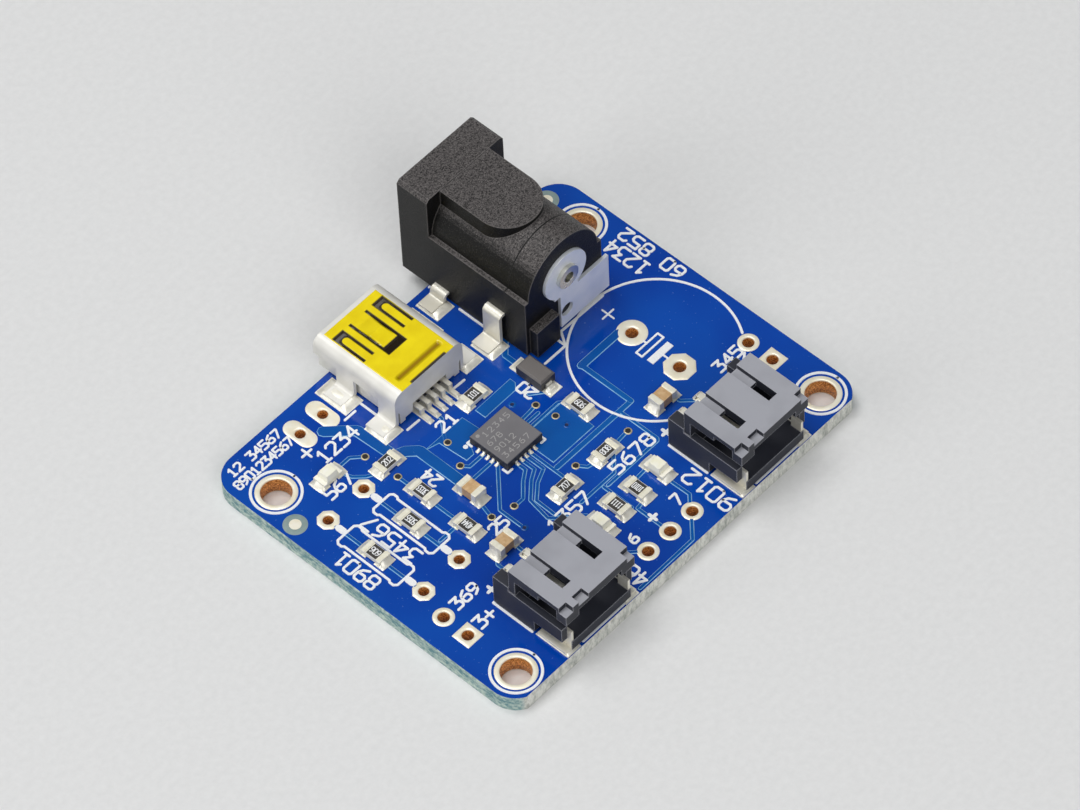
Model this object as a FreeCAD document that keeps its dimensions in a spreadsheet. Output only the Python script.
"""Lithium battery charger module: a small circuit board with a mini-USB receptacle and a barrel power
jack on its back edge, two two-way battery sockets on its front edge, and a charger chip between them.

Millimetres. The origin is the centre of the four mounting holes, in the plane of the underside.
+X runs along the long side, +Y from the battery sockets to the power inlets, +Z up out of the top.
"""

import FreeCAD, Part
import Sketcher
import math
import os
import re

Vector = FreeCAD.Vector
doc = FreeCAD.newDocument("charger_module")

# Driving sizes
SIZES = {
    # The glass-fibre board: three rounded sides and a front edge snapped off a panel at a V groove
    "board_thickness": 1.6,
    "side_margin": 2.5,
    "front_margin": 2.2,
    "back_margin": 5.0,
    "corner_radius": 2.5,
    "groove_cut": 0.3,
    "hole_spacing_x": 35.1,
    "hole_spacing_y": 25.4,
    # Copper: pads on the parts' face and the plating in their holes
    "copper": 0.05,
    "plating": 0.04,
    "land_thickness": 0.08,
    "mounting_hole_radius": 1.27,
    "mounting_ring_radius": 1.72,
    "wire_pitch": 2.54,
    "wire_hole_radius": 0.5,
    "wire_pad_width": 1.78,
    "leg_hole_radius": 0.45,
    "slot_pad_length": 3.2,
    "slot_pad_width": 1.6,
    "big_hole_radius": 0.54,
    "big_pad_width": 2.6,
    "fiducial_radius": 0.5,
    "breakout_x": -0.05,
    "breakout_y": -12.73,
    "side_pads_y": -5.13,
    "thermistor_x": -12.8,
    "current_setting_x": -16.8,
    "setting_legs_y": 2.75,
    "slot_pads_x": -11.0,
    "slot_pads_inset": 2.5,
    "reservoir_x": 12.2,
    "reservoir_y": -0.14,
    "fiducial_y": 9.45,
    "fiducial_inset": 1.25,
    # Mini-USB receptacle: a folded tin shell round an insulator with five contacts
    "usb_x": -3.05,
    "usb_overhang": 1.05,
    "usb_length": 8.85,
    "usb_width": 7.7,
    "usb_lower_width": 6.7,
    "usb_height": 3.9,
    "usb_seat": 0.12,
    "usb_sheet": 0.3,
    "usb_corner": 0.9,
    "usb_shoulder_round": 0.3,
    "usb_cavity_offset": 0.075,
    "usb_shoulder_low": 1.4,
    "usb_shoulder_high": 2.1,
    "usb_back_opening": 1.35,
    "usb_spring_x": 2.25,
    "usb_spring_width": 0.7,
    "usb_spring_gap": 0.22,
    "usb_slot_depth": 0.36,
    "usb_spring_front": 1.3,
    "usb_spring_back": 4.6,
    "usb_latch_width": 1.6,
    "usb_latch_back": 5.6,
    "usb_latch_gap": 0.75,
    "usb_foot_reach": 1.5,
    "usb_foot_width": 1.9,
    "usb_front_foot": 3.35,
    "usb_land_width": 2.0,
    "usb_land_length": 3.4,
    "usb_back_land_length": 2.4,
    "usb_tail_land_width": 0.5,
    "usb_tail_land_length": 2.2,
    "usb_tongue_setback": 1.25,
    "usb_contact_inset": 0.2,
    "usb_tongue_width": 3.8,
    "usb_tongue_thickness": 0.75,
    "usb_tongue_level": 2.1,
    "usb_block_depth": 3.2,
    "usb_contact_pitch": 0.8,
    "usb_contact_width": 0.4,
    "usb_contact_thickness": 0.2,
    "usb_tail_reach": 1.45,
    "usb_tail_foot": 0.9,
    "usb_tail_exit": 0.95,
    "usb_peg_spacing": 4.4,
    "usb_peg_radius": 0.45,
    "usb_peg_inset": 2.2,
    "tape_width": 5.9,
    "tape_thickness": 0.06,
    "tape_setback": 0.4,
    # Barrel power jack: a moulded housing and cap, a centre pin, and sprung and soldered terminals
    "jack_x": 9.45,
    "jack_overhang": 2.8,
    "jack_width": 8.8,
    "jack_height": 11.0,
    "jack_seat": 0.12,
    "jack_axis": 6.5,
    "jack_housing_length": 11.3,
    "jack_cap_length": 2.2,
    "jack_flange": 3.2,
    "jack_barrel_radius": 4.0,
    "jack_bore_radius": 3.15,
    "jack_saddle_width": 5.7,
    "jack_saddle_inset": 0.7,
    "jack_saddle_drop": 0.08,
    "jack_edge": 0.3,
    "jack_foot_left": 4.0,
    "jack_foot_width": 2.6,
    "jack_foot_depth": 0.8,
    "jack_foot_height": 3.2,
    "jack_peg_radius": 0.8,
    "jack_peg_setback": 4.6,
    "jack_peg_inset": 2.2,
    "pin_radius": 1.0,
    "pin_recess": 1.2,
    "stem_radius": 0.75,
    "rivet_radius": 1.1,
    "rivet_height": 0.35,
    "rivet_hollow": 0.5,
    "rivet_depth": 1.0,
    "terminal_sheet": 0.3,
    "plate_head_radius": 2.35,
    "plate_shoulder": 1.35,
    "plate_left": 0.7,
    "plate_bottom": 0.4,
    "plate_top": 4.3,
    "plate_hole_radius": 0.65,
    "plate_hole_level": 2.1,
    "plate_leg_reach": 3.7,
    "plate_leg_height": 2.6,
    "side_tab_reach": 2.05,
    "side_tab_bulge": 0.35,
    "side_tab_root": 0.7,
    "back_tab_width": 1.8,
    "back_tab_inset": 1.0,
    "back_tab_height": 3.6,
    "front_tab_width": 1.5,
    "front_tab_setback": 4.35,
    "front_tab_height": 1.1,
    "jack_land_shift": 0.3,
    "jack_land_width": 2.0,
    "jack_land_length": 2.4,
    "spring_width": 2.0,
    "spring_floor": 1.7,
    "spring_crest": 3.9,
    "spring_setback": 1.6,
    "spring_root": 0.95,
    "slot_clearance": 0.15,
    "peg_clearance": 0.1,
    # Battery sockets: side-entry, two ways at 2 mm
    "socket_x": 10.0,
    "socket_setback": 0.25,
    "socket_width": 7.9,
    "socket_depth": 7.6,
    "socket_height": 5.5,
    "socket_seat": 0.12,
    "socket_wing": 0.62,
    "socket_wing_height": 2.9,
    "socket_wing_setback": 0.45,
    "socket_floor": 1.05,
    "socket_roof": 0.95,
    "socket_roof_length": 6.0,
    "socket_back_wall": 0.65,
    "socket_arm_width": 1.05,
    "socket_arm_height": 3.4,
    "socket_slot_offset": 1.8,
    "socket_slot_width": 0.95,
    "socket_slot_front": 1.8,
    "socket_slot_through": 2.2,
    "socket_slot_depth": 0.5,
    "socket_notch_width": 0.8,
    "socket_notch_depth": 0.75,
    "socket_notch_drop": 0.6,
    "socket_rebate_width": 0.5,
    "socket_rebate_length": 1.9,
    "socket_lip_width": 1.45,
    "socket_lip_drop": 0.7,
    "socket_mark_offset": 1.85,
    "socket_mark_width": 1.1,
    "socket_mark_depth": 0.5,
    "socket_undercut_length": 2.9,
    "socket_undercut_height": 1.35,
    "socket_inset": 0.1,
    "way_pitch": 2.0,
    "contact_size": 0.5,
    "contact_front": 1.9,
    "contact_level": 2.75,
    "tail_drop": 0.9,
    "tail_reach": 1.4,
    "tail_thickness": 0.3,
    "nail_sheet": 0.25,
    "nail_height": 2.35,
    "nail_length": 3.0,
    "nail_tongue": 1.1,
    "socket_land_width": 1.0,
    "socket_land_length": 3.5,
    "nail_land_width": 1.5,
    "nail_land_length": 3.35,
    # Charger chip: a square no-lead package with five leads a side
    "chip_x": -2.15,
    "chip_y": 2.6,
    "chip_width": 4.0,
    "chip_height": 0.85,
    "chip_pitch": 0.5,
    "chip_lead_width": 0.25,
    "chip_lead_length": 0.4,
    "chip_lead_height": 0.2,
    "chip_lead_proud": 0.03,
    "chip_land_reach": 0.35,
    "chip_chamfer": 0.05,
    "chip_pad_width": 2.6,
    # Diode
    "diode_x": 3.95,
    "diode_setback": 4.1,
    "diode_width": 1.6,
    "diode_length": 2.7,
    "diode_height": 1.1,
    "diode_lead_width": 0.6,
    "diode_lead_sheet": 0.15,
    "diode_lead_reach": 0.55,
    "diode_lead_exit": 0.45,
    "diode_edge": 0.15,
    "diode_land_width": 1.4,
    "diode_land_length": 1.2,
    "diode_feed_spacing": 4.6,
    # Chip resistors, capacitors and indicator lights, all 2.0 by 1.25
    "chip_part_length": 2.0,
    "chip_part_width": 1.25,
    "resistor_height": 0.5,
    "resistor_cap": 0.38,
    "capacitor_height": 1.0,
    "capacitor_cap": 0.45,
    "cap_proud": 0.04,
    "light_base_height": 0.45,
    "light_lens_height": 0.55,
    "light_cap": 0.35,
    "light_lens_draft": 14.0,
    "part_land_length": 1.0,
    "part_land_width": 1.45,
    "part_land_spacing": 1.9,
}

# Where each chip-sized part lies: centre, and whether its length runs along +Y.
# Resistor 9 is fed by the diode and follows it along Y
RESISTORS = {
    "resistor_1": (-0.75, 7.4, False),
    "resistor_2": (-9.95, 8.0, False),
    "resistor_3": (-10.15, 4.05, True),
    "resistor_4": (-10.2, -0.8, True),
    "resistor_5": (-12.8, 2.75, True),
    "resistor_6": (-16.8, 2.75, True),
    "resistor_7": (-2.5, -3.95, False),
    "resistor_8": (2.1, -4.0, False),
    "resistor_9": (4.1, None, True),
    "resistor_10": (1.1, -8.3, True),
    "resistor_11": (-1.15, -8.15, True),
}
CAPACITORS = {
    "capacitor_1": (-7.6, 1.2, True),
    "capacitor_2": (-9.65, -4.15, False),
    "capacitor_3": (8.8, -3.95, False),
}
LIGHTS = {
    "power_light": (-13.9, 10.6, False),
    "done_light": (3.65, -8.15, True),
    "charging_light": (-3.25, -8.45, True),
}
for spots in (RESISTORS, CAPACITORS, LIGHTS):
    for piece, spot in spots.items():
        SIZES[piece + "_x"] = spot[0]
        if spot[1] is not None:
            SIZES[piece + "_y"] = spot[1]

sizes = doc.addObject("Spreadsheet::Sheet", "sizes")
for row, (word, number) in enumerate(SIZES.items(), start=1):
    sizes.set("A%d" % row, word)
    sizes.set("B%d" % row, str(number))
    sizes.setAlias("B%d" % row, word)
doc.recompute()

# Places worked out from the driving sizes
PLACES = {
    "board_side": "(hole_spacing_x / 2 + side_margin)",
    "board_front": "(-hole_spacing_y / 2 - front_margin)",
    "board_back": "(hole_spacing_y / 2 + back_margin)",
    "top": "board_thickness",
    "land_top": "(board_thickness + land_thickness)",
    "usb_front": "(board_back + usb_overhang)",
    "usb_back": "(usb_front - usb_length)",
    "usb_top": "(top + usb_height)",
    "usb_bottom": "(top + usb_seat)",
    "usb_foot_top": "(land_top + usb_sheet)",
    "usb_spring_left": "(usb_x - usb_spring_x)",
    "usb_spring_right": "(usb_x + usb_spring_x)",
    "usb_tail_end": "(usb_back - usb_tail_reach)",
    "usb_tail_top": "(top + usb_tail_exit)",
    "usb_block_front": "(usb_back + usb_block_depth)",
    "usb_tongue_bottom": "(top + usb_tongue_level)",
    "usb_tongue_front": "(usb_front - usb_tongue_setback)",
    "usb_contact_end": "(usb_tongue_front - usb_contact_inset)",
    "jack_front": "(board_back + jack_overhang)",
    "jack_seam": "(jack_front - jack_housing_length)",
    "jack_rear": "(jack_seam - jack_cap_length)",
    "jack_left": "(jack_x - jack_width / 2)",
    "jack_right": "(jack_x + jack_width / 2)",
    "jack_bottom": "(top + jack_seat)",
    "jack_centre": "(top + jack_axis)",
    "jack_top": "(top + jack_height)",
    "plate_rear": "(jack_rear - terminal_sheet)",
    "diode_y": "(jack_seam - diode_setback)",
    "resistor_9_y": "(diode_y - diode_feed_spacing)",
    "back_tab_y": "(jack_seam + back_tab_inset)",
    "front_tab_y": "(jack_front - front_tab_setback)",
    "slot_floor": "(top + spring_floor)",
    "socket_front": "(board_front + socket_setback)",
    "socket_rear": "(socket_front + socket_depth)",
    "socket_bottom": "(top + socket_seat)",
    "socket_top": "(top + socket_height)",
    "wall_front": "(wall_back - socket_back_wall)",
    "wall_back": "(socket_front + socket_roof_length)",
    "tail_end": "(socket_rear + tail_reach)",
    "peg_end": "(board_thickness / 4)",
}


def bound(text):
    """An expression with each derived place written out and each size read from the sheet."""
    text = str(text)
    while any(word in PLACES for word in re.findall(r"[a-z_0-9]+", text)):
        text = re.sub(r"[a-z_0-9]+", lambda found: PLACES.get(found.group(), found.group()), text)
    return re.sub(
        r"[a-z_0-9]+",
        lambda found: "sizes." + found.group() if found.group() in SIZES else found.group(),
        text,
    )


# Solids made from boxes and cylinders
def block(name, x, y, z):
    """A box between two corners; x, y and z each give a low and a high expression."""
    solid = doc.addObject("Part::Box", name)
    for side, axis, (low, high) in zip(("Length", "Width", "Height"), "xyz", (x, y, z)):
        solid.setExpression(side, bound("(%s) - (%s)" % (high, low)))
        solid.setExpression("Placement.Base." + axis, bound(low))
    return solid


def joined(name, solids):
    """Several solids fused into one piece."""
    piece = doc.addObject("Part::MultiFuse", name)
    piece.Shapes = solids
    piece.Refine = True
    return piece


def grouped(name, solids):
    """Several separate solids of one kind, kept apart in one group."""
    group = doc.addObject("Part::Compound", name)
    group.Links = solids
    return group


def cut_out(name, blank, inserts):
    """A moulding with the room that its metal inserts take up."""
    tool = inserts[0]
    if len(inserts) > 1:
        tool = grouped(name + "_inserts", inserts)
    piece = doc.addObject("Part::Cut", name)
    piece.Base = blank
    piece.Tool = tool
    return piece


# Solids made from sketches: a body, its sketches on the body's own planes, pads, pockets and rounds
NORMAL_SIGN = {"XY_Plane": 1, "YZ_Plane": 1, "XZ_Plane": -1}


def new_body(name):
    """A body that may hold several separate solids."""
    body = doc.addObject("PartDesign::Body", name)
    body.AllowCompound = True
    return body


def new_sketch(body, plane, name, level):
    """A sketch parallel to one of the body's planes, at a level along that plane's row axis."""
    support = next(item for item in body.Origin.OriginFeatures if item.Role == plane)
    sketch = body.newObject("Sketcher::SketchObject", name)
    sketch.AttachmentSupport = [(support, "")]
    sketch.MapMode = "FlatFace"
    sketch.setExpression("AttachmentOffset.Base.z", bound("%d * (%s)" % (NORMAL_SIGN[plane], level)))
    return sketch


def add_outline(sketch, corners):
    """A closed outline of straight lines; each corner is a pair of expressions."""
    first = sketch.GeometryCount
    count = len(corners)
    guesses = [Vector(i, i * i, 0) for i in range(count)]
    sketch.addGeometry([Part.LineSegment(guesses[i - 1], guesses[i]) for i in range(count)], False)
    ties = []
    pins = []
    for i in range(count):
        ties.append(Sketcher.Constraint("Coincident", first + i, 2, first + (i + 1) % count, 1))
        pins.append(Sketcher.Constraint("DistanceX", -1, 1, first + i, 2, guesses[i].x))
        pins.append(Sketcher.Constraint("DistanceY", -1, 1, first + i, 2, guesses[i].y))
    sketch.addConstraint(ties)
    number = sketch.ConstraintCount
    sketch.addConstraint(pins)
    for corner in corners:
        for text in corner:
            sketch.setExpression("Constraints[%d]" % number, bound(text))
            number += 1


def rectangle(left, right, low, high):
    """The four corners of a rectangle, each as a pair of expressions."""
    return [(left, low), (right, low), (right, high), (left, high)]


def add_circle(sketch, across, up, radius):
    """A circle whose centre and radius are expressions."""
    curve = sketch.addGeometry(Part.Circle(Vector(1, 1, 0), Vector(0, 0, 1), 1))
    number = sketch.ConstraintCount
    sketch.addConstraint(
        [
            Sketcher.Constraint("DistanceX", -1, 1, curve, 3, 1.0),
            Sketcher.Constraint("DistanceY", -1, 1, curve, 3, 1.0),
            Sketcher.Constraint("Radius", curve, 1.0),
        ]
    )
    for text in (across, up, radius):
        sketch.setExpression("Constraints[%d]" % number, bound(text))
        number += 1


def extrude(kind, body, sketch, name, length):
    """A Pad or Pocket that runs from its sketch towards the positive end of the row axis."""
    feature = body.newObject("PartDesign::" + kind, name)
    feature.Profile = sketch
    feature.setExpression("Length", bound(length))
    plane = sketch.AttachmentSupport[0][0].Role
    feature.Reversed = (NORMAL_SIGN[plane] < 0) == (kind == "Pad")
    sketch.Visibility = False
    return feature


def shaped(kind, body, name, plane, low, high, outlines):
    """A Pad or Pocket of straight outlines between two levels; gives back its sketch."""
    sketch = new_sketch(body, plane, name + "_sketch", low)
    for corners in outlines:
        add_outline(sketch, corners)
    extrude(kind, body, sketch, name, "(%s) - (%s)" % (high, low))
    return sketch


def rounded_pad(kind, body, name, plane, low, high, circles):
    """A Pad or Pocket of circles between two levels; each circle is centre and radius."""
    sketch = new_sketch(body, plane, name + "_sketch", low)
    for across, up, radius in circles:
        add_circle(sketch, across, up, radius)
    extrude(kind, body, sketch, name, "(%s) - (%s)" % (high, low))
    return sketch


def ease_corners(body, sketch, corners, size, name, kind="Fillet"):
    """Rounds or chamfers the long edges that rise from numbered corners of a sketch."""
    doc.recompute()
    base = body.Tip
    along = sketch.Placement.Rotation.multVec(Vector(0, 0, 1))
    spots = [sketch.Placement.multVec(sketch.Geometry[i].EndPoint) for i in corners]
    picked = []
    for number, edge in enumerate(base.Shape.Edges, start=1):
        if not isinstance(edge.Curve, Part.Line):
            continue
        start = edge.Vertexes[0].Point
        direction = (edge.Vertexes[-1].Point - start).normalize()
        if abs(direction.dot(along)) < 0.999:
            continue
        for spot in spots:
            if (spot - start).cross(direction).Length < 1e-4:
                picked.append("Edge%d" % number)
    feature = body.newObject("PartDesign::" + kind, name)
    feature.Base = (base, picked)
    feature.setExpression("Radius" if kind == "Fillet" else "Size", bound(size))
    return feature


def ease_level(body, level, size, name, kind="Chamfer"):
    """Chamfers or rounds the straight edges that lie wholly at a height."""
    doc.recompute()
    base = body.Tip
    picked = []
    for number, edge in enumerate(base.Shape.Edges, start=1):
        if all(abs(vertex.Z - level) < 1e-4 for vertex in edge.Vertexes):
            if isinstance(edge.Curve, Part.Line):
                picked.append("Edge%d" % number)
    feature = body.newObject("PartDesign::" + kind, name)
    feature.Base = (base, picked)
    feature.setExpression("Radius" if kind == "Fillet" else "Size", bound(size))
    return feature


# Plated pads: copper on the parts' face, and a plated barrel that ends level with the underside
# The small round pads, holes and pegs repeat all over the board, so they are drawn with few sides
ROUND_SIDES = 16


def post(name, x, y, low, high, radius, sides=ROUND_SIDES):
    """An upright prism with its corners on a circle."""
    solid = doc.addObject("Part::Prism", name)
    solid.Polygon = sides
    solid.setExpression("Circumradius", bound(radius))
    solid.setExpression("Height", bound("(%s) - (%s)" % (high, low)))
    for axis, text in (("x", x), ("y", y), ("z", low)):
        solid.setExpression("Placement.Base." + axis, bound(text))
    return solid


def round_pad(name, x, y, low, high, width):
    """A round pad's copper."""
    return post(name, x, y, low, high, "(%s) / 2" % width)


def octagon_pad(name, x, y, low, high, width):
    """An eight-sided pad's copper: its flats lie at half its width, square to the board."""
    flat_to_corner = 1 / math.cos(math.pi / 8)
    pad = post(name, x, y, low, high, "(%s) / 2 * %.6f" % (width, flat_to_corner), 8)
    pad.Placement.Rotation = FreeCAD.Rotation(Vector(0, 0, 1), 22.5)
    return pad


def square_pad(name, x, y, low, high, width):
    """A square pad's copper, which marks the first way of a row."""
    half = "(%s) / 2" % width
    sides = ("%s - %s" % (x, half), "%s + %s" % (x, half))
    ends = ("%s - %s" % (y, half), "%s + %s" % (y, half))
    return block(name, sides, ends, (low, high))


def slot_pad(name, x, y, low, high, width):
    """A long pad's copper, with its corners cut at 45 degrees."""
    side = "(%s) / 2" % width
    end = "slot_pad_length / 2"
    cut = "(%s) / 2 * (2 - sqrt(2))" % width
    quarter = [(side, "%s - %s" % (end, cut)), ("%s - %s" % (side, cut), end)]
    corners = [(across, up) for across, up in quarter]
    corners += [("-(%s)" % across, up) for across, up in reversed(quarter)]
    corners += [("-(%s)" % across, "-(%s)" % up) for across, up in quarter]
    corners += [(across, "-(%s)" % up) for across, up in reversed(quarter)]
    pad = new_body(name)
    outline = [("%s + %s" % (x, across), "%s + %s" % (y, up)) for across, up in corners]
    shaped("Pad", pad, name + "_copper", "XY_Plane", low, high, [outline])
    return pad


MOUNTING_SPOTS = [
    (side + "hole_spacing_x / 2", end + "hole_spacing_y / 2")
    for side in ("-", "")
    for end in ("-", "")
]
SETTING_SPOTS = [
    (column, "setting_legs_y %s 2 * wire_pitch" % sign)
    for column in ("thermistor_x", "current_setting_x")
    for sign in "-+"
]
WIRE_SPOTS = [("breakout_x + %d * wire_pitch" % step, "breakout_y") for step in (-1, 0, 1)]
WIRE_SPOTS += [(side + "hole_spacing_x / 2", "side_pads_y") for side in ("-", "")]
SQUARE_SPOTS = [(side + "hole_spacing_x / 2", "side_pads_y - wire_pitch") for side in ("-", "")]
SLOT_SPOTS = [("slot_pads_x %s wire_pitch / 2" % sign, "board_back - slot_pads_inset") for sign in "-+"]
PLUS_SPOT = [("reservoir_x", "reservoir_y + wire_pitch")]
MINUS_SPOT = [("reservoir_x", "reservoir_y - wire_pitch")]

# The mounting holes' rings are true circles, because screws go through them
rings = new_body("mounting_hole_rings")
RING_LAYERS = [
    ("barrel", "0", "top", "mounting_hole_radius + plating"),
    ("upper", "top", "top + copper", "mounting_ring_radius"),
]
for layer, low, high, radius in RING_LAYERS:
    circles = [(x, y, edge) for x, y in MOUNTING_SPOTS for edge in (radius, "mounting_hole_radius")]
    rounded_pad("Pad", rings, "ring_" + layer, "XY_Plane", low, high, circles)

# Each family of small pads: where, the copper's form and width, and the radius of the hole
PADS = [
    ("setting_leg_pads", SETTING_SPOTS, octagon_pad, "wire_pad_width", "leg_hole_radius"),
    ("wire_pads", WIRE_SPOTS, round_pad, "wire_pad_width", "wire_hole_radius"),
    ("first_wire_pads", SQUARE_SPOTS, square_pad, "wire_pad_width", "wire_hole_radius"),
    ("inlet_wire_pads", SLOT_SPOTS, slot_pad, "slot_pad_width", "leg_hole_radius"),
    ("reservoir_plus_pad", PLUS_SPOT, round_pad, "big_pad_width", "big_hole_radius"),
    ("reservoir_minus_pad", MINUS_SPOT, octagon_pad, "big_pad_width", "big_hole_radius"),
]
board_holes = []
for name, spots, form, width, hole in PADS:
    plated = []
    for number, (x, y) in enumerate(spots, start=1):
        word = "%s_%d" % (name, number)
        barrel = post(word + "_barrel", x, y, "0", "top", hole + " + plating")
        pad = form(word + "_face", x, y, "top", "top + copper", width)
        drill = post(word + "_drill", x, y, "0", "top + copper", hole)
        plated.append(cut_out(word, joined(word + "_blank", [barrel, pad]), [drill]))
        board_holes.append(barrel)
    grouped(name, plated)

# Fiducials: two bare copper dots that a placing machine sights on
FIDUCIAL_SPOTS = [
    ("-board_side + fiducial_inset", "fiducial_y"),
    ("hole_spacing_x / 2", "board_back - fiducial_inset"),
]
dots = []
for number, (x, y) in enumerate(FIDUCIAL_SPOTS, start=1):
    dots.append(post("fiducial_%d" % number, x, y, "top", "top + copper", "fiducial_radius"))
grouped("fiducials", dots)


def pegs(name, spots, high, radius):
    """Moulded pegs that reach down into the board, each in a plain hole with some clearance."""
    posts = []
    for number, (x, y) in enumerate(spots, start=1):
        word = "%s_%d" % (name, number)
        posts.append(post(word, x, y, "peg_end", high, radius))
        board_holes.append(post(word + "_hole", x, y, "0", "top", radius + " + peg_clearance"))
    return posts


USB_PEGS = [("usb_x %s usb_peg_spacing / 2" % sign, "usb_back + usb_peg_inset") for sign in "-+"]
JACK_PEGS = [("jack_x", "jack_front - jack_peg_setback"), ("jack_x", "jack_seam + jack_peg_inset")]
usb_pegs = pegs("usb_peg", USB_PEGS, "usb_bottom + 2 * usb_sheet", "usb_peg_radius")
jack_pegs = pegs("jack_peg", JACK_PEGS, "jack_bottom + jack_edge", "jack_peg_radius")

# The board: its outline, the screw holes, and the room for the plated barrels and the pegs
board = new_body("circuit_board_blank")
panel_front = "(board_front - groove_cut)"
panel = rectangle("-board_side", "board_side", panel_front, "board_back")
blank = shaped("Pad", board, "board_blank", "XY_Plane", "0", "top", [panel])
ease_corners(board, blank, (0, 1, 2, 3), "corner_radius", "board_corners")
snapped = rectangle("-board_side", "board_side", panel_front, "board_front")
shaped("Pocket", board, "board_snapped_edge", "XY_Plane", "0", "top", [snapped])
screw_holes = [(x, y, "mounting_hole_radius + plating") for x, y in MOUNTING_SPOTS]
rounded_pad("Pocket", board, "board_screw_holes", "XY_Plane", "0", "top", screw_holes)
cut_out("circuit_board", board, board_holes)


# Mini-USB receptacle
def mirrored(corners, centre):
    """Corners on one side of a centre line, followed by the same corners on the other side."""
    right = [("%s + (%s)" % (centre, across), up) for across, up in corners]
    left = [("%s - (%s)" % (centre, across), up) for across, up in reversed(corners)]
    return right + left


shell = new_body("usb_shell")
half = "usb_width / 2"
lower_half = "usb_lower_width / 2"
shell_side = [
    (lower_half, "usb_bottom"),
    (lower_half, "top + usb_shoulder_low"),
    (half, "top + usb_shoulder_high"),
    (half, "usb_top"),
]
shell_face = [mirrored(shell_side, "usb_x")]
shell_outer = shaped("Pad", shell, "shell_tube", "XZ_Plane", "usb_back", "usb_front", shell_face)
ease_corners(shell, shell_outer, (3, 4), "usb_corner", "shell_top_rounds")
ease_corners(shell, shell_outer, (1, 2, 5, 6), "usb_shoulder_round", "shell_shoulder_rounds")
cavity_side = [
    ("%s - usb_sheet" % lower_half, "usb_bottom + usb_sheet"),
    ("%s - usb_sheet" % lower_half, "top + usb_shoulder_low + usb_cavity_offset"),
    ("%s - usb_sheet" % half, "top + usb_shoulder_high + usb_cavity_offset"),
    ("%s - usb_sheet" % half, "usb_top - usb_corner"),
    ("%s - usb_corner" % half, "usb_top - usb_sheet"),
]
shaped(
    "Pocket",
    shell,
    "shell_cavity",
    "XZ_Plane",
    "usb_back + usb_sheet",
    "usb_front",
    [mirrored(cavity_side, "usb_x")],
)
middle_sides = ("usb_x - usb_tongue_width / 2", "usb_x + usb_tongue_width / 2")
back_slot = rectangle(*middle_sides, "usb_bottom", "top + usb_back_opening")
back_wall = ("usb_back", "usb_back + usb_sheet")
shaped("Pocket", shell, "shell_back_opening", "XZ_Plane", *back_wall, [back_slot])
# Springs stamped in the top: a U slot frees a tongue on each side, and one in the middle latches
spring_slots = []
for centre in ("usb_spring_left", "usb_spring_right"):
    inner = "usb_spring_width / 2"
    outer = "usb_spring_width / 2 + usb_spring_gap"
    tip = "usb_front - usb_spring_front"
    root = "usb_front - usb_spring_back"
    spring_slots.append(
        [
            ("%s - (%s)" % (centre, outer), root),
            ("%s - (%s)" % (centre, inner), root),
            ("%s - (%s)" % (centre, inner), tip + " - 2 * usb_spring_gap"),
            ("%s + (%s)" % (centre, inner), tip + " - 2 * usb_spring_gap"),
            ("%s + (%s)" % (centre, inner), root),
            ("%s + (%s)" % (centre, outer), root),
            ("%s + (%s)" % (centre, outer), tip),
            ("%s - (%s)" % (centre, outer), tip),
        ]
    )
latch_in = "usb_latch_width / 2"
latch_out = "usb_latch_width / 2 + usb_spring_gap"
latch_front = "usb_front - usb_spring_front"
latch_tip = "usb_front - usb_latch_back + usb_latch_gap"
latch_back = "usb_front - usb_latch_back"
latch_slot = [
    ("usb_x - (%s)" % latch_out, latch_front),
    ("usb_x - (%s)" % latch_out, latch_back),
    ("usb_x + (%s)" % latch_out, latch_back),
    ("usb_x + (%s)" % latch_out, latch_front),
    ("usb_x + (%s)" % latch_in, latch_front),
    ("usb_x + (%s)" % latch_in, latch_tip),
    ("usb_x - (%s)" % latch_in, latch_tip),
    ("usb_x - (%s)" % latch_in, latch_front),
]
shaped(
    "Pocket",
    shell,
    "shell_springs",
    "XY_Plane",
    "usb_top - usb_slot_depth",
    "usb_top",
    spring_slots + [latch_slot],
)
# Four feet folded out of the sides and down to the board, the back pair flush with the back
FOOT_STARTS = {"front": "(usb_front - usb_front_foot - usb_foot_width / 2)", "back": "usb_back"}
for side_sign in "-+":
    for label, low in FOOT_STARTS.items():
        foot = [
            ("usb_x %s (%s - usb_sheet)" % (side_sign, half), "top + usb_shoulder_high + usb_sheet"),
            ("usb_x %s (%s - usb_sheet)" % (side_sign, half), "land_top"),
            ("usb_x %s (%s + usb_foot_reach)" % (side_sign, half), "land_top"),
            ("usb_x %s (%s + usb_foot_reach)" % (side_sign, half), "usb_foot_top"),
            ("usb_x %s %s" % (side_sign, half), "usb_foot_top"),
            ("usb_x %s %s" % (side_sign, half), "top + usb_shoulder_high + usb_sheet"),
        ]
        word = "%s_%s_foot" % ("left" if side_sign == "-" else "right", label)
        foot_sketch = shaped("Pad", shell, word, "XZ_Plane", low, low + " + usb_foot_width", [foot])
        ease_corners(shell, foot_sketch, (1, 4), "usb_sheet", word + "_bend")

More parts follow.
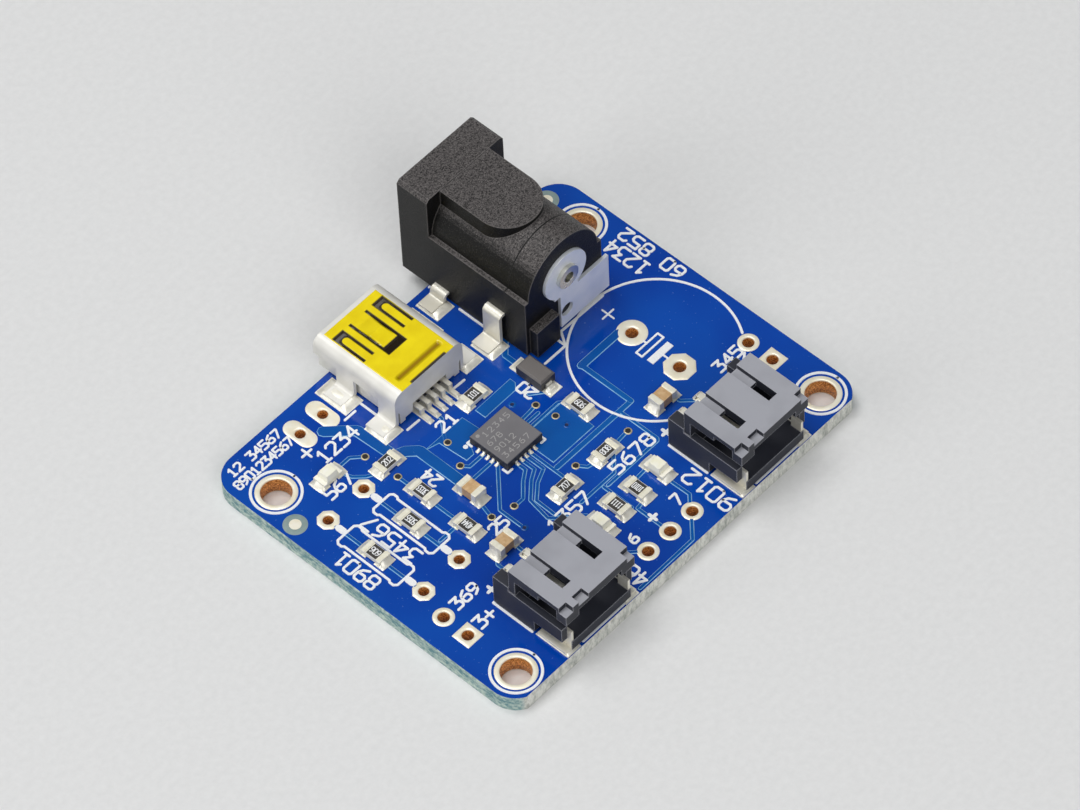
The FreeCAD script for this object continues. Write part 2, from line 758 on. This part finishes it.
# Its insulator: a block behind, a tongue in the mouth, and two pegs into the board
insulator = new_body("usb_insulator_blank")
block_sides = ("usb_x - usb_lower_width / 2 + usb_sheet", "usb_x + usb_lower_width / 2 - usb_sheet")
block_face = rectangle(*block_sides, "usb_bottom + usb_sheet", "usb_top - usb_sheet - slot_clearance")
block_ends = ("usb_back + usb_sheet", "usb_block_front")
shaped("Pad", insulator, "insulator_block", "XZ_Plane", *block_ends, [block_face])
tongue_face = rectangle(
    "usb_x - usb_tongue_width / 2",
    "usb_x + usb_tongue_width / 2",
    "usb_tongue_bottom",
    "usb_tongue_bottom + usb_tongue_thickness",
)
shaped(
    "Pad",
    insulator,
    "insulator_tongue",
    "XZ_Plane",
    "usb_block_front",
    "usb_tongue_front",
    [tongue_face],
)

contact_path = [
    ("usb_tail_end", "land_top"),
    ("usb_tail_end + usb_tail_foot", "land_top"),
    ("usb_tail_end + usb_tail_foot", "usb_tail_top - usb_contact_thickness"),
    ("usb_block_front", "usb_tail_top - usb_contact_thickness"),
    ("usb_block_front", "usb_tongue_bottom - usb_contact_thickness"),
    ("usb_contact_end", "usb_tongue_bottom - usb_contact_thickness"),
    ("usb_contact_end", "usb_tongue_bottom"),
    ("usb_block_front - usb_contact_thickness", "usb_tongue_bottom"),
    ("usb_block_front - usb_contact_thickness", "usb_tail_top"),
    ("usb_tail_end + usb_tail_foot - usb_contact_thickness", "usb_tail_top"),
    ("usb_tail_end + usb_tail_foot - usb_contact_thickness", "land_top + usb_contact_thickness"),
    ("usb_tail_end", "land_top + usb_contact_thickness"),
]
contacts = new_body("usb_contacts")
for step in range(-2, 3):
    left = "usb_x + %d * usb_contact_pitch - usb_contact_width / 2" % step
    word = "usb_contact_%d" % (step + 3)
    shaped("Pad", contacts, word, "YZ_Plane", left, left + " + usb_contact_width", [contact_path])

# Its pegs reach the board where the shell's floor is cut away behind
floor_half = "(usb_peg_spacing / 2 + usb_peg_radius + slot_clearance)"
floor_cut = rectangle("usb_x - " + floor_half, "usb_x + " + floor_half, "usb_back", "usb_block_front")
shell_floor = ("usb_bottom", "usb_bottom + usb_sheet")
shaped("Pocket", shell, "shell_floor_cut", "XY_Plane", *shell_floor, [floor_cut])
cut_out("usb_insulator", joined("usb_insulator_pegged", [insulator] + usb_pegs), [contacts])

tape_sides = ("usb_x - tape_width / 2", "usb_x + tape_width / 2")
tape_ends = ("usb_back", "usb_front - tape_setback")
block("usb_tape", tape_sides, tape_ends, ("usb_top", "usb_top + tape_thickness"))


def land(name, x, y, width, length):
    """A tinned copper land on the board's top, centred at x, y."""
    sides = ("%s - (%s) / 2" % (x, width), "%s + (%s) / 2" % (x, width))
    ends = ("%s - (%s) / 2" % (y, length), "%s + (%s) / 2" % (y, length))
    return block(name, sides, ends, ("top", "land_top"))


usb_lands = []
for side_sign in "-+":
    centre = "usb_x %s (usb_width / 2 + usb_foot_reach / 2)" % side_sign
    front = ("usb_front - usb_front_foot", "usb_land_width", "usb_land_length")
    back = ("usb_back + usb_foot_width / 2 - usb_sheet", "usb_land_width", "usb_back_land_length")
    word = "left" if side_sign == "-" else "right"
    usb_lands.append(land("usb_front_land_" + word, centre, *front))
    usb_lands.append(land("usb_back_land_" + word, centre, *back))
for step in range(-2, 3):
    centre = "usb_x + %d * usb_contact_pitch" % step
    centre_y = "usb_tail_end - usb_sheet + usb_tail_land_length / 2"
    word = "usb_tail_land_%d" % (step + 3)
    usb_lands.append(land(word, centre, centre_y, "usb_tail_land_width", "usb_tail_land_length"))
grouped("usb_lands", usb_lands)

# Power jack: its moulded housing, open at the front, with a flange, a barrel and a saddle on top
housing = new_body("jack_housing_blank")
lower_face = rectangle("jack_left", "jack_right", "jack_bottom", "jack_centre")
barrel = [("jack_x", "jack_centre", "jack_barrel_radius")]
flange_back = "jack_front - jack_flange"
shaped("Pad", housing, "jack_lower", "XZ_Plane", "jack_seam", "jack_front", [lower_face])
rounded_pad("Pad", housing, "jack_barrel", "XZ_Plane", "jack_seam", flange_back, barrel)
flange_face = rectangle("jack_left", "jack_right", "jack_bottom", "jack_top")
flange_ends = (flange_back, "jack_front")
flange = shaped("Pad", housing, "jack_flange_wall", "XZ_Plane", *flange_ends, [flange_face])
ease_corners(housing, flange, (2, 3), "jack_edge", "jack_flange_edges", "Chamfer")
saddle_y = "(jack_seam + jack_saddle_inset + jack_saddle_width / 2)"
saddle_sides = ("jack_x - jack_saddle_width / 2", "jack_x + jack_saddle_width / 2")
saddle_face = rectangle(*saddle_sides, saddle_y, flange_back)
saddle_top = "jack_top - jack_saddle_drop"
shaped("Pad", housing, "jack_saddle", "XY_Plane", "jack_centre", saddle_top, [saddle_face])
saddle_end = [("jack_x", saddle_y, "jack_saddle_width / 2")]
rounded_pad("Pad", housing, "jack_saddle_end", "XY_Plane", "jack_centre", saddle_top, saddle_end)
bore = [("jack_x", "jack_centre", "jack_bore_radius")]
rounded_pad("Pocket", housing, "jack_bore", "XZ_Plane", "jack_seam", "jack_front", bore)
slot_half = "(spring_width / 2 + slot_clearance)"
spring_slot = rectangle("jack_x - " + slot_half, "jack_x + " + slot_half, "slot_floor", "jack_centre")
slot_end = "jack_front - spring_setback + slot_clearance"
shaped("Pocket", housing, "jack_spring_slot", "XZ_Plane", "jack_seam", slot_end, [spring_slot])

# The sleeve spring: a strip on the slot's floor that rises into the bore to press on a plug
spring = new_body("jack_sleeve_spring")
spring_start = "(jack_seam + slot_clearance)"
spring_tip = "(jack_front - spring_setback)"
spring_bend = "(%s + spring_root)" % spring_start
spring_crest_y = "(%s - (%s - %s) / 3)" % (spring_tip, spring_tip, spring_bend)
crest = "(top + spring_crest)"
spring_path = [
    (spring_start, "slot_floor"),
    (spring_bend, "slot_floor"),
    (spring_crest_y, crest + " - terminal_sheet"),
    (spring_tip, "slot_floor + 2 * terminal_sheet"),
    (spring_tip, "slot_floor + 3 * terminal_sheet"),
    (spring_crest_y, crest),
    (spring_bend, "slot_floor + terminal_sheet"),
    (spring_start, "slot_floor + terminal_sheet"),
]
strip_sides = ("jack_x - spring_width / 2", "jack_x + spring_width / 2")
shaped("Pad", spring, "sleeve_strip", "YZ_Plane", *strip_sides, [spring_path])


def side_terminal(name, side, outward, middle, width, height, inside=()):
    """A bent strip that leaves the housing's side, drops to the board and turns out to its land.

    Its root ends in the wall, or follows further points inside the housing."""
    level = "(top + %s)" % height
    root = "%s %s side_tab_root" % (side, "+" if outward == "-" else "-")
    inner = "%s %s side_tab_bulge" % (side, outward)
    outer = "%s %s terminal_sheet" % (inner, outward)
    toe = "%s %s side_tab_reach" % (side, outward)
    path = [
        (root, level),
        (outer, level),
        (outer, "land_top + terminal_sheet"),
        (toe, "land_top + terminal_sheet"),
        (toe, "land_top"),
        (inner, "land_top"),
        (inner, level + " - terminal_sheet"),
        *(inside or [(root, level + " - terminal_sheet")]),
    ]
    terminal = new_body(name)
    low = "%s - %s / 2" % (middle, width)
    strip = shaped("Pad", terminal, name + "_strip", "XZ_Plane", low, "%s + %s" % (low, width), [path])
    ease_corners(terminal, strip, (1, 5), "terminal_sheet + side_tab_bulge / 2", name + "_outer_bends")
    ease_corners(terminal, strip, (2, 6), "side_tab_bulge / 2", name + "_inner_bends")
    return terminal


# The sleeve terminal goes down inside the wall and in along the slot's floor to touch the spring
riser = "jack_left + side_tab_root - terminal_sheet"
to_spring = [
    (riser, "top + back_tab_height - terminal_sheet"),
    (riser, "slot_floor"),
    ("jack_x - spring_width / 2", "slot_floor"),
    ("jack_x - spring_width / 2", "slot_floor + terminal_sheet"),
    ("jack_left + side_tab_root", "slot_floor + terminal_sheet"),
]
back_tab = ("back_tab_y", "back_tab_width", "back_tab_height")
front_tab = ("front_tab_y", "front_tab_width", "front_tab_height")
side_terminals = [
    side_terminal("jack_sleeve_terminal", "jack_left", "-", *back_tab, inside=to_spring),
    side_terminal("jack_left_tab", "jack_left", "-", *front_tab),
    side_terminal("jack_right_tab", "jack_right", "+", *front_tab),
]
cut_out("jack_housing", joined("jack_housing_pegged", [housing] + jack_pegs), [spring] + side_terminals)

# The rear cap closes the barrel and holds the centre pin
cap = new_body("jack_rear_cap")
shaped("Pad", cap, "cap_lower", "XZ_Plane", "jack_rear", "jack_seam", [lower_face])
rounded_pad("Pad", cap, "cap_barrel", "XZ_Plane", "jack_rear", "jack_seam", barrel)
foot_left = "jack_x - jack_foot_left"
foot_right = foot_left + " + jack_foot_width"
cap_foot = rectangle(foot_left, foot_right, "jack_bottom", "top + jack_foot_height")
shaped("Pad", cap, "cap_foot", "XZ_Plane", "jack_rear - jack_foot_depth", "jack_rear", [cap_foot])
stem_hole = [("jack_x", "jack_centre", "stem_radius")]
rounded_pad("Pocket", cap, "cap_pin_hole", "XZ_Plane", "jack_rear", "jack_seam", stem_hole)

# The centre pin is turned: a pin that shoulders on the cap, and a stem riveted over the rear plate
centre_pin = new_body("jack_centre_pin")
turned = new_sketch(centre_pin, "YZ_Plane", "pin_profile", "jack_x")
turned.setExpression("AttachmentOffset.Base.y", bound("jack_centre"))
pin_tip = "(jack_front - pin_recess)"
rivet_face = "(plate_rear - rivet_height)"
pin_profile = [
    (rivet_face, "rivet_hollow"),
    (rivet_face, "rivet_radius"),
    ("plate_rear", "rivet_radius"),
    ("plate_rear", "stem_radius"),
    ("jack_seam", "stem_radius"),
    ("jack_seam", "pin_radius"),
    (pin_tip + " - pin_radius / 2", "pin_radius"),
    (pin_tip, "pin_radius / 2"),
    (pin_tip, "0"),
    (rivet_face + " + rivet_depth", "0"),
    (rivet_face + " + rivet_depth", "rivet_hollow"),
]
add_outline(turned, pin_profile)
turning = centre_pin.newObject("PartDesign::Revolution", "pin_turning")
turning.Profile = turned
turning.ReferenceAxis = (turned, ["H_Axis"])
turning.Angle = 360
turned.Visibility = False

# The rear plate carries the pin's current: a round head, a body with a hole, and a leg round the side
plate = new_body("jack_rear_plate")
leg_outer = "jack_right + slot_clearance + terminal_sheet"
leg_inner = "jack_right + slot_clearance"
plate_face = [
    ("jack_x - plate_left", "top + plate_bottom"),
    (leg_outer, "top + plate_bottom"),
    (leg_outer, "top + plate_top"),
    ("jack_x + plate_shoulder", "top + plate_top"),
    ("jack_x + plate_shoulder", "jack_centre"),
    ("jack_x - plate_shoulder", "jack_centre"),
    ("jack_x - plate_shoulder", "top + plate_top"),
    ("jack_x - plate_left", "top + plate_top"),
]
shaped("Pad", plate, "plate_web", "XZ_Plane", "plate_rear", "jack_rear", [plate_face])
plate_head = [("jack_x", "jack_centre", "plate_head_radius")]
rounded_pad("Pad", plate, "plate_head", "XZ_Plane", "plate_rear", "jack_rear", plate_head)
plate_hole = [("jack_x", "top + plate_hole_level", "plate_hole_radius")]
rounded_pad("Pocket", plate, "plate_hole", "XZ_Plane", "plate_rear", "jack_rear", plate_hole)
leg_end = "(jack_rear + plate_leg_reach)"
leg_foot = "(back_tab_y - back_tab_width / 2)"
leg_face = [
    ("jack_rear", "top + plate_bottom"),
    (leg_foot, "top + plate_bottom"),
    (leg_foot, "land_top"),
    (leg_end, "land_top"),
    (leg_end, "top + plate_leg_height"),
    ("jack_rear", "top + plate_leg_height"),
]
shaped("Pad", plate, "plate_leg", "YZ_Plane", leg_inner, leg_outer, [leg_face])
foot_face = rectangle(leg_inner, "jack_right + side_tab_reach", leg_foot, leg_end)
shaped("Pad", plate, "plate_foot", "XY_Plane", "land_top", "land_top + terminal_sheet", [foot_face])
rounded_pad("Pocket", plate, "plate_pin_hole", "XZ_Plane", "plate_rear", "jack_rear", stem_hole)

jack_lands = []
land_reach = "(jack_width / 2 + side_tab_reach + slot_clearance - jack_land_width / 2)"
for side_sign in "-+":
    centre = "jack_x %s %s" % (side_sign, land_reach)
    for label, middle in (("back", "back_tab_y"), ("front", "front_tab_y")):
        word = "jack_%s_land_%s" % (label, "left" if side_sign == "-" else "right")
        lands_y = "%s - jack_land_shift" % middle
        jack_lands.append(land(word, centre, lands_y, "jack_land_width", "jack_land_length"))
grouped("jack_lands", jack_lands)


# Battery sockets, one for the cell and one for the load
def battery_socket(name, centre):
    """A side-entry socket: its moulded housing, two contacts, two fitting nails, and their lands."""
    half = "socket_width / 2"
    inner = "(socket_width / 2 - socket_wing)"
    roof_half = "(socket_width / 2 - socket_inset)"
    roof_low = "socket_top - socket_roof"

    def pair(near, far, low, high):
        """Two rectangles, mirror images about the socket's centre."""
        right = rectangle("%s + %s" % (centre, near), "%s + %s" % (centre, far), low, high)
        left = rectangle("%s - %s" % (centre, far), "%s - %s" % (centre, near), low, high)
        return [left, right]

    def span(reach, low, high):
        """One rectangle right across the socket."""
        return [rectangle("%s - %s" % (centre, reach), "%s + %s" % (centre, reach), low, high)]

    body = new_body(name + "_housing_blank")
    floor = span(inner, "socket_front", "wall_back")
    floor_top = "socket_bottom + socket_floor"
    shaped("Pad", body, name + "_floor", "XY_Plane", "socket_bottom", floor_top, floor)
    wings = pair(inner, half, "socket_front + socket_wing_setback", "socket_rear")
    shaped("Pad", body, name + "_wings", "XY_Plane", "socket_bottom", "top + socket_wing_height", wings)
    arms = pair("(socket_width / 2 - socket_arm_width)", half, "wall_back", "socket_rear")
    arm_top = "top + socket_arm_height"
    shaped("Pad", body, name + "_arms", "XY_Plane", "socket_bottom", arm_top, arms)
    wall = span(roof_half, "wall_front", "wall_back")
    shaped("Pad", body, name + "_back_wall", "XY_Plane", "socket_bottom", "socket_top", wall)
    roof = span(roof_half, "socket_front", "wall_back")
    shaped("Pad", body, name + "_roof", "XY_Plane", roof_low, "socket_top", roof)
    lip_low = "socket_top - socket_roof - socket_lip_drop"
    lip_back = "socket_front + socket_notch_depth + socket_mark_depth / 2"
    lips = pair("(%s - socket_lip_width)" % roof_half, roof_half, "socket_front", lip_back)
    shaped("Pad", body, name + "_lips", "XY_Plane", lip_low, roof_low, lips)
    slot_near = "(socket_slot_offset - socket_slot_width / 2)"
    slot_far = "(socket_slot_offset + socket_slot_width / 2)"
    slot_front = "socket_front + socket_slot_front"
    slots = pair(slot_near, slot_far, slot_front, "wall_back")
    slot_low = "socket_top - socket_slot_depth"
    shaped("Pocket", body, name + "_slots", "XY_Plane", slot_low, "socket_top", slots)
    windows = pair(slot_near, slot_far, slot_front, slot_front + " + socket_slot_through")
    shaped("Pocket", body, name + "_windows", "XY_Plane", roof_low, "socket_top", windows)
    notch_near = "(%s - socket_notch_width)" % roof_half
    notches = pair(notch_near, roof_half, "socket_front", "socket_front + socket_notch_depth")
    notch_low = "socket_top - socket_notch_drop"
    shaped("Pocket", body, name + "_notches", "XY_Plane", notch_low, "socket_top", notches)
    mark = rectangle(
        "%s - socket_mark_offset - socket_mark_width / 2" % centre,
        "%s - socket_mark_offset + socket_mark_width / 2" % centre,
        "socket_front",
        "socket_front + socket_notch_depth",
    )
    mark_low = "socket_top - socket_mark_depth"
    shaped("Pocket", body, name + "_first_way", "XY_Plane", mark_low, "socket_top", [mark])
    rebate_near = "(%s - socket_rebate_width)" % roof_half
    rebates = pair(rebate_near, roof_half, lip_back, lip_back + " + socket_rebate_length")
    rebate_top = "socket_top - socket_roof / 2"
    shaped("Pocket", body, name + "_rebates", "XY_Plane", roof_low, rebate_top, rebates)
    undercut_back = "socket_front + socket_wing_setback + socket_undercut_length"
    undercuts = pair(inner, half, "socket_front + socket_wing_setback", undercut_back)
    undercut_top = "top + socket_undercut_height"
    shaped("Pocket", body, name + "_undercuts", "XY_Plane", "socket_bottom", undercut_top, undercuts)

    contacts = new_body(name + "_contacts")
    level = "(top + contact_level)"
    tail_back = "(wall_back + tail_drop)"
    contact_path = [
        ("socket_front + contact_front", level + " + contact_size"),
        (tail_back, level + " + contact_size"),
        (tail_back, "land_top + tail_thickness"),
        ("tail_end", "land_top + tail_thickness"),
        ("tail_end", "land_top"),
        (tail_back + " - tail_thickness", "land_top"),
        (tail_back + " - tail_thickness", level),
        ("socket_front + contact_front", level),
    ]
    for number, side in enumerate("-+", start=1):
        left = "%s %s way_pitch / 2 - contact_size / 2" % (centre, side)
        sides = (left, left + " + contact_size")
        word = "%s_contact_%d" % (name, number)
        strip = shaped("Pad", contacts, word, "YZ_Plane", *sides, [contact_path])
        ease_corners(contacts, strip, (1, 5), "tail_thickness", word + "_bends")

    nails = new_body(name + "_nails")
    nail_back = "socket_front + nail_tongue"
    plates = pair("(%s - nail_sheet)" % inner, inner, "socket_front + nail_sheet / 4", nail_back)
    shaped("Pad", nails, name + "_nail_plates", "XY_Plane", "land_top", "top + nail_height", plates)
    foot_out = "(%s + socket_inset / 2)" % half
    feet = pair(inner, foot_out, "socket_front + nail_sheet / 4", "socket_front + nail_length")
    shaped("Pad", nails, name + "_nail_feet", "XY_Plane", "land_top", "land_top + nail_sheet", feet)
    cut_out(name + "_housing", body, [contacts, nails])

    lands = []
    for number, side in enumerate("-+", start=1):
        way_x = "%s %s way_pitch / 2" % (centre, side)
        way_y = "tail_end + socket_inset / 2 - socket_land_length / 2"
        word = "%s_way_land_%d" % (name, number)
        lands.append(land(word, way_x, way_y, "socket_land_width", "socket_land_length"))
        nail_x = "%s %s (%s + socket_inset - nail_land_width / 2)" % (centre, side, half)
        nail_y = "board_front + socket_inset / 2 + nail_land_length / 2"
        word = "%s_nail_land_%d" % (name, number)
        lands.append(land(word, nail_x, nail_y, "nail_land_width", "nail_land_length"))
    grouped(name + "_lands", lands)


battery_socket("battery_socket", "-socket_x")
battery_socket("load_socket", "socket_x")

# Charger chip: a moulded square with its leads let into the lower edge
chip = new_body("charger_chip_blank")
chip_half = "chip_width / 2"
chip_face = rectangle(*["chip_%s %s %s" % (axis, sign, chip_half) for axis in "xy" for sign in "-+"])
shaped("Pad", chip, "chip_moulding", "XY_Plane", "land_top", "land_top + chip_height", [chip_face])
doc.recompute()
ease_level(chip, chip.Shape.BoundBox.ZMax, "chip_chamfer", "chip_edges")
chip_leads = []
chip_lands = []
lead_in = "(chip_width / 2 - chip_lead_length)"
lead_out = "(chip_width / 2 + chip_lead_proud)"
land_out = "(chip_width / 2 + chip_land_reach)"
lead_height = ("land_top", "land_top + chip_lead_height")
kinds = (("lead", chip_leads, lead_height), ("land", chip_lands, ("top", "land_top")))
for across, along in (("x", "y"), ("y", "x")):
    for sign in "-+":
        for step in range(-2, 3):
            word = "%s%s_%d" % ("low" if sign == "-" else "high", across, step + 3)
            middle = "chip_%s + %d * chip_pitch" % (along, step)
            width = (middle + " - chip_lead_width / 2", middle + " + chip_lead_width / 2")
            ends = {}
            for kind, reach in (("lead", lead_out), ("land", land_out)):
                span = ["chip_%s %s %s" % (across, sign, end) for end in (lead_in, reach)]
                ends[kind] = tuple(span if sign == "+" else reversed(span))
            for kind, group, height in kinds:
                box = {across: ends[kind], along: width}
                group.append(block("chip_%s_%s" % (kind, word), box["x"], box["y"], height))
chip_lands.append(land("chip_thermal_land", "chip_x", "chip_y", "chip_pad_width", "chip_pad_width"))
leads = grouped("chip_leads", chip_leads)
grouped("chip_lands", chip_lands)
chip_cut = doc.addObject("Part::Cut", "charger_chip")
chip_cut.Base = chip
chip_cut.Tool = leads

# Diode: a moulded block with a bent lead at each end
diode = new_body("diode_body")
diode_low = "land_top + diode_lead_sheet / 2"
diode_face = rectangle(
    "diode_x - diode_width / 2",
    "diode_x + diode_width / 2",
    "diode_y - diode_length / 2",
    "diode_y + diode_length / 2",
)
shaped("Pad", diode, "diode_moulding", "XY_Plane", diode_low, "land_top + diode_height", [diode_face])
doc.recompute()
ease_level(diode, diode.Shape.BoundBox.ZMax, "diode_edge", "diode_edges")
diode_leads = new_body("diode_leads")
part_lands = []
for sign in "-+":
    end = "(diode_y %s diode_length / 2)" % sign
    bend = "%s %s diode_lead_sheet" % (end, sign)
    toe = "%s %s diode_lead_reach" % (end, sign)
    exit_level = "(top + diode_lead_exit)"
    lead_path = [
        (end, exit_level + " + diode_lead_sheet"),
        (bend, exit_level + " + diode_lead_sheet"),
        (bend, "land_top + diode_lead_sheet"),
        (toe, "land_top + diode_lead_sheet"),
        (toe, "land_top"),
        (end, "land_top"),
    ]
    word = "diode_lead_" + ("front" if sign == "-" else "back")
    lead_sides = ("diode_x - diode_lead_width / 2", "diode_x + diode_lead_width / 2")
    shaped("Pad", diode_leads, word, "YZ_Plane", *lead_sides, [lead_path])
    land_y = "diode_y %s (diode_length / 2 + diode_lead_reach / 2)" % sign
    part_lands.append(land(word + "_land", "diode_x", land_y, "diode_land_width", "diode_land_length"))


# Chip-sized parts: a core between two plated ends
def capped_part(name, height, cap, turned):
    """A flat core with a slightly larger plated cap on each end, one solid, laid on its lands."""
    core_end = "(chip_part_length / 2 - %s)" % cap
    core_sides = ("-chip_part_width / 2 + cap_proud", "chip_part_width / 2 - cap_proud")
    cap_sides = ("-chip_part_width / 2", "chip_part_width / 2")
    core_levels = ("cap_proud", "%s - cap_proud" % height)
    solids = [
        block(name + "_core", ("-" + core_end, core_end), core_sides, core_levels),
        block(name + "_first_cap", ("-chip_part_length / 2", "-" + core_end), cap_sides, ("0", height)),
        block(name + "_last_cap", (core_end, "chip_part_length / 2"), cap_sides, ("0", height)),
    ]
    piece = joined(name, solids)
    place(piece, name, turned, "land_top")
    return piece


def place(piece, spot, turned, level):
    """Lays a part at its own place on the board, along X or turned along Y."""
    piece.Placement.Rotation = FreeCAD.Rotation(Vector(0, 0, 1), 90 if turned else 0)
    for axis, text in (("x", spot + "_x"), ("y", spot + "_y"), ("z", level)):
        piece.setExpression("Placement.Base." + axis, bound(text))


def end_lands(spot, turned):
    """The two lands under a chip-sized part's ends."""
    for number, sign in enumerate("-+", start=1):
        middle = {"x": spot + "_x", "y": spot + "_y"}
        middle["y" if turned else "x"] += " %s part_land_spacing / 2" % sign
        width, length = "part_land_length", "part_land_width"
        if turned:
            width, length = length, width
        part_lands.append(land("%s_land_%d" % (spot, number), middle["x"], middle["y"], width, length))


for name, spot in RESISTORS.items():
    capped_part(name, "resistor_height", "resistor_cap", spot[2])
    end_lands(name, spot[2])
for name, spot in CAPACITORS.items():
    capped_part(name, "capacitor_height", "capacitor_cap", spot[2])
    end_lands(name, spot[2])
for name, spot in LIGHTS.items():
    base = capped_part(name + "_base", "light_base_height", "light_cap", spot[2])
    place(base, name, spot[2], "land_top")
    lens = new_body(name + "_lens")
    lens_long = "chip_part_length / 2 - light_cap"
    lens_wide = "chip_part_width / 2 - cap_proud"
    lens_face = rectangle("-(%s)" % lens_long, lens_long, "-(%s)" % lens_wide, lens_wide)
    shaped("Pad", lens, name + "_dome", "XY_Plane", "0", "light_lens_height", [lens_face])
    doc.getObject(name + "_dome").setExpression("TaperAngle", bound("-light_lens_draft"))
    place(lens, name, spot[2], "land_top + light_base_height - cap_proud")
    end_lands(name, spot[2])
grouped("part_lands", part_lands)

# The pieces that are handed over, each under its own name
PIECES = ["circuit_board", "mounting_hole_rings"] + [pads[0] for pads in PADS] + ["fiducials"]
PIECES += ["usb_shell", "usb_insulator", "usb_contacts", "usb_tape", "usb_lands"]
PIECES += ["jack_housing", "jack_rear_cap", "jack_centre_pin", "jack_rear_plate", "jack_sleeve_spring"]
PIECES += ["jack_sleeve_terminal", "jack_left_tab", "jack_right_tab", "jack_lands"]
for socket in ("battery_socket", "load_socket"):
    PIECES += [socket + ending for ending in ("_housing", "_contacts", "_nails", "_lands")]
PIECES += ["charger_chip", "chip_leads", "chip_lands", "diode_body", "diode_leads"]
PIECES += list(RESISTORS) + list(CAPACITORS)
PIECES += [light + ending for light in LIGHTS for ending in ("_base", "_lens")]
PIECES += ["part_lands"]

doc.recompute()
for item in doc.Objects:
    if "Invalid" in item.State or "Error" in item.State:
        raise RuntimeError("%s could not be built: %s" % (item.Name, item.State))
for name in PIECES:
    piece = doc.getObject(name)
    piece.Label = name
    if piece.Shape.isNull() or not piece.Shape.isValid() or not piece.Shape.Solids:
        raise RuntimeError("%s is not a sound solid" % name)

os.makedirs("parts", exist_ok=True)
for name in PIECES:
    doc.getObject(name).Shape.exportStep("parts/%s.step" % name)
print("%d pieces" % len(PIECES))
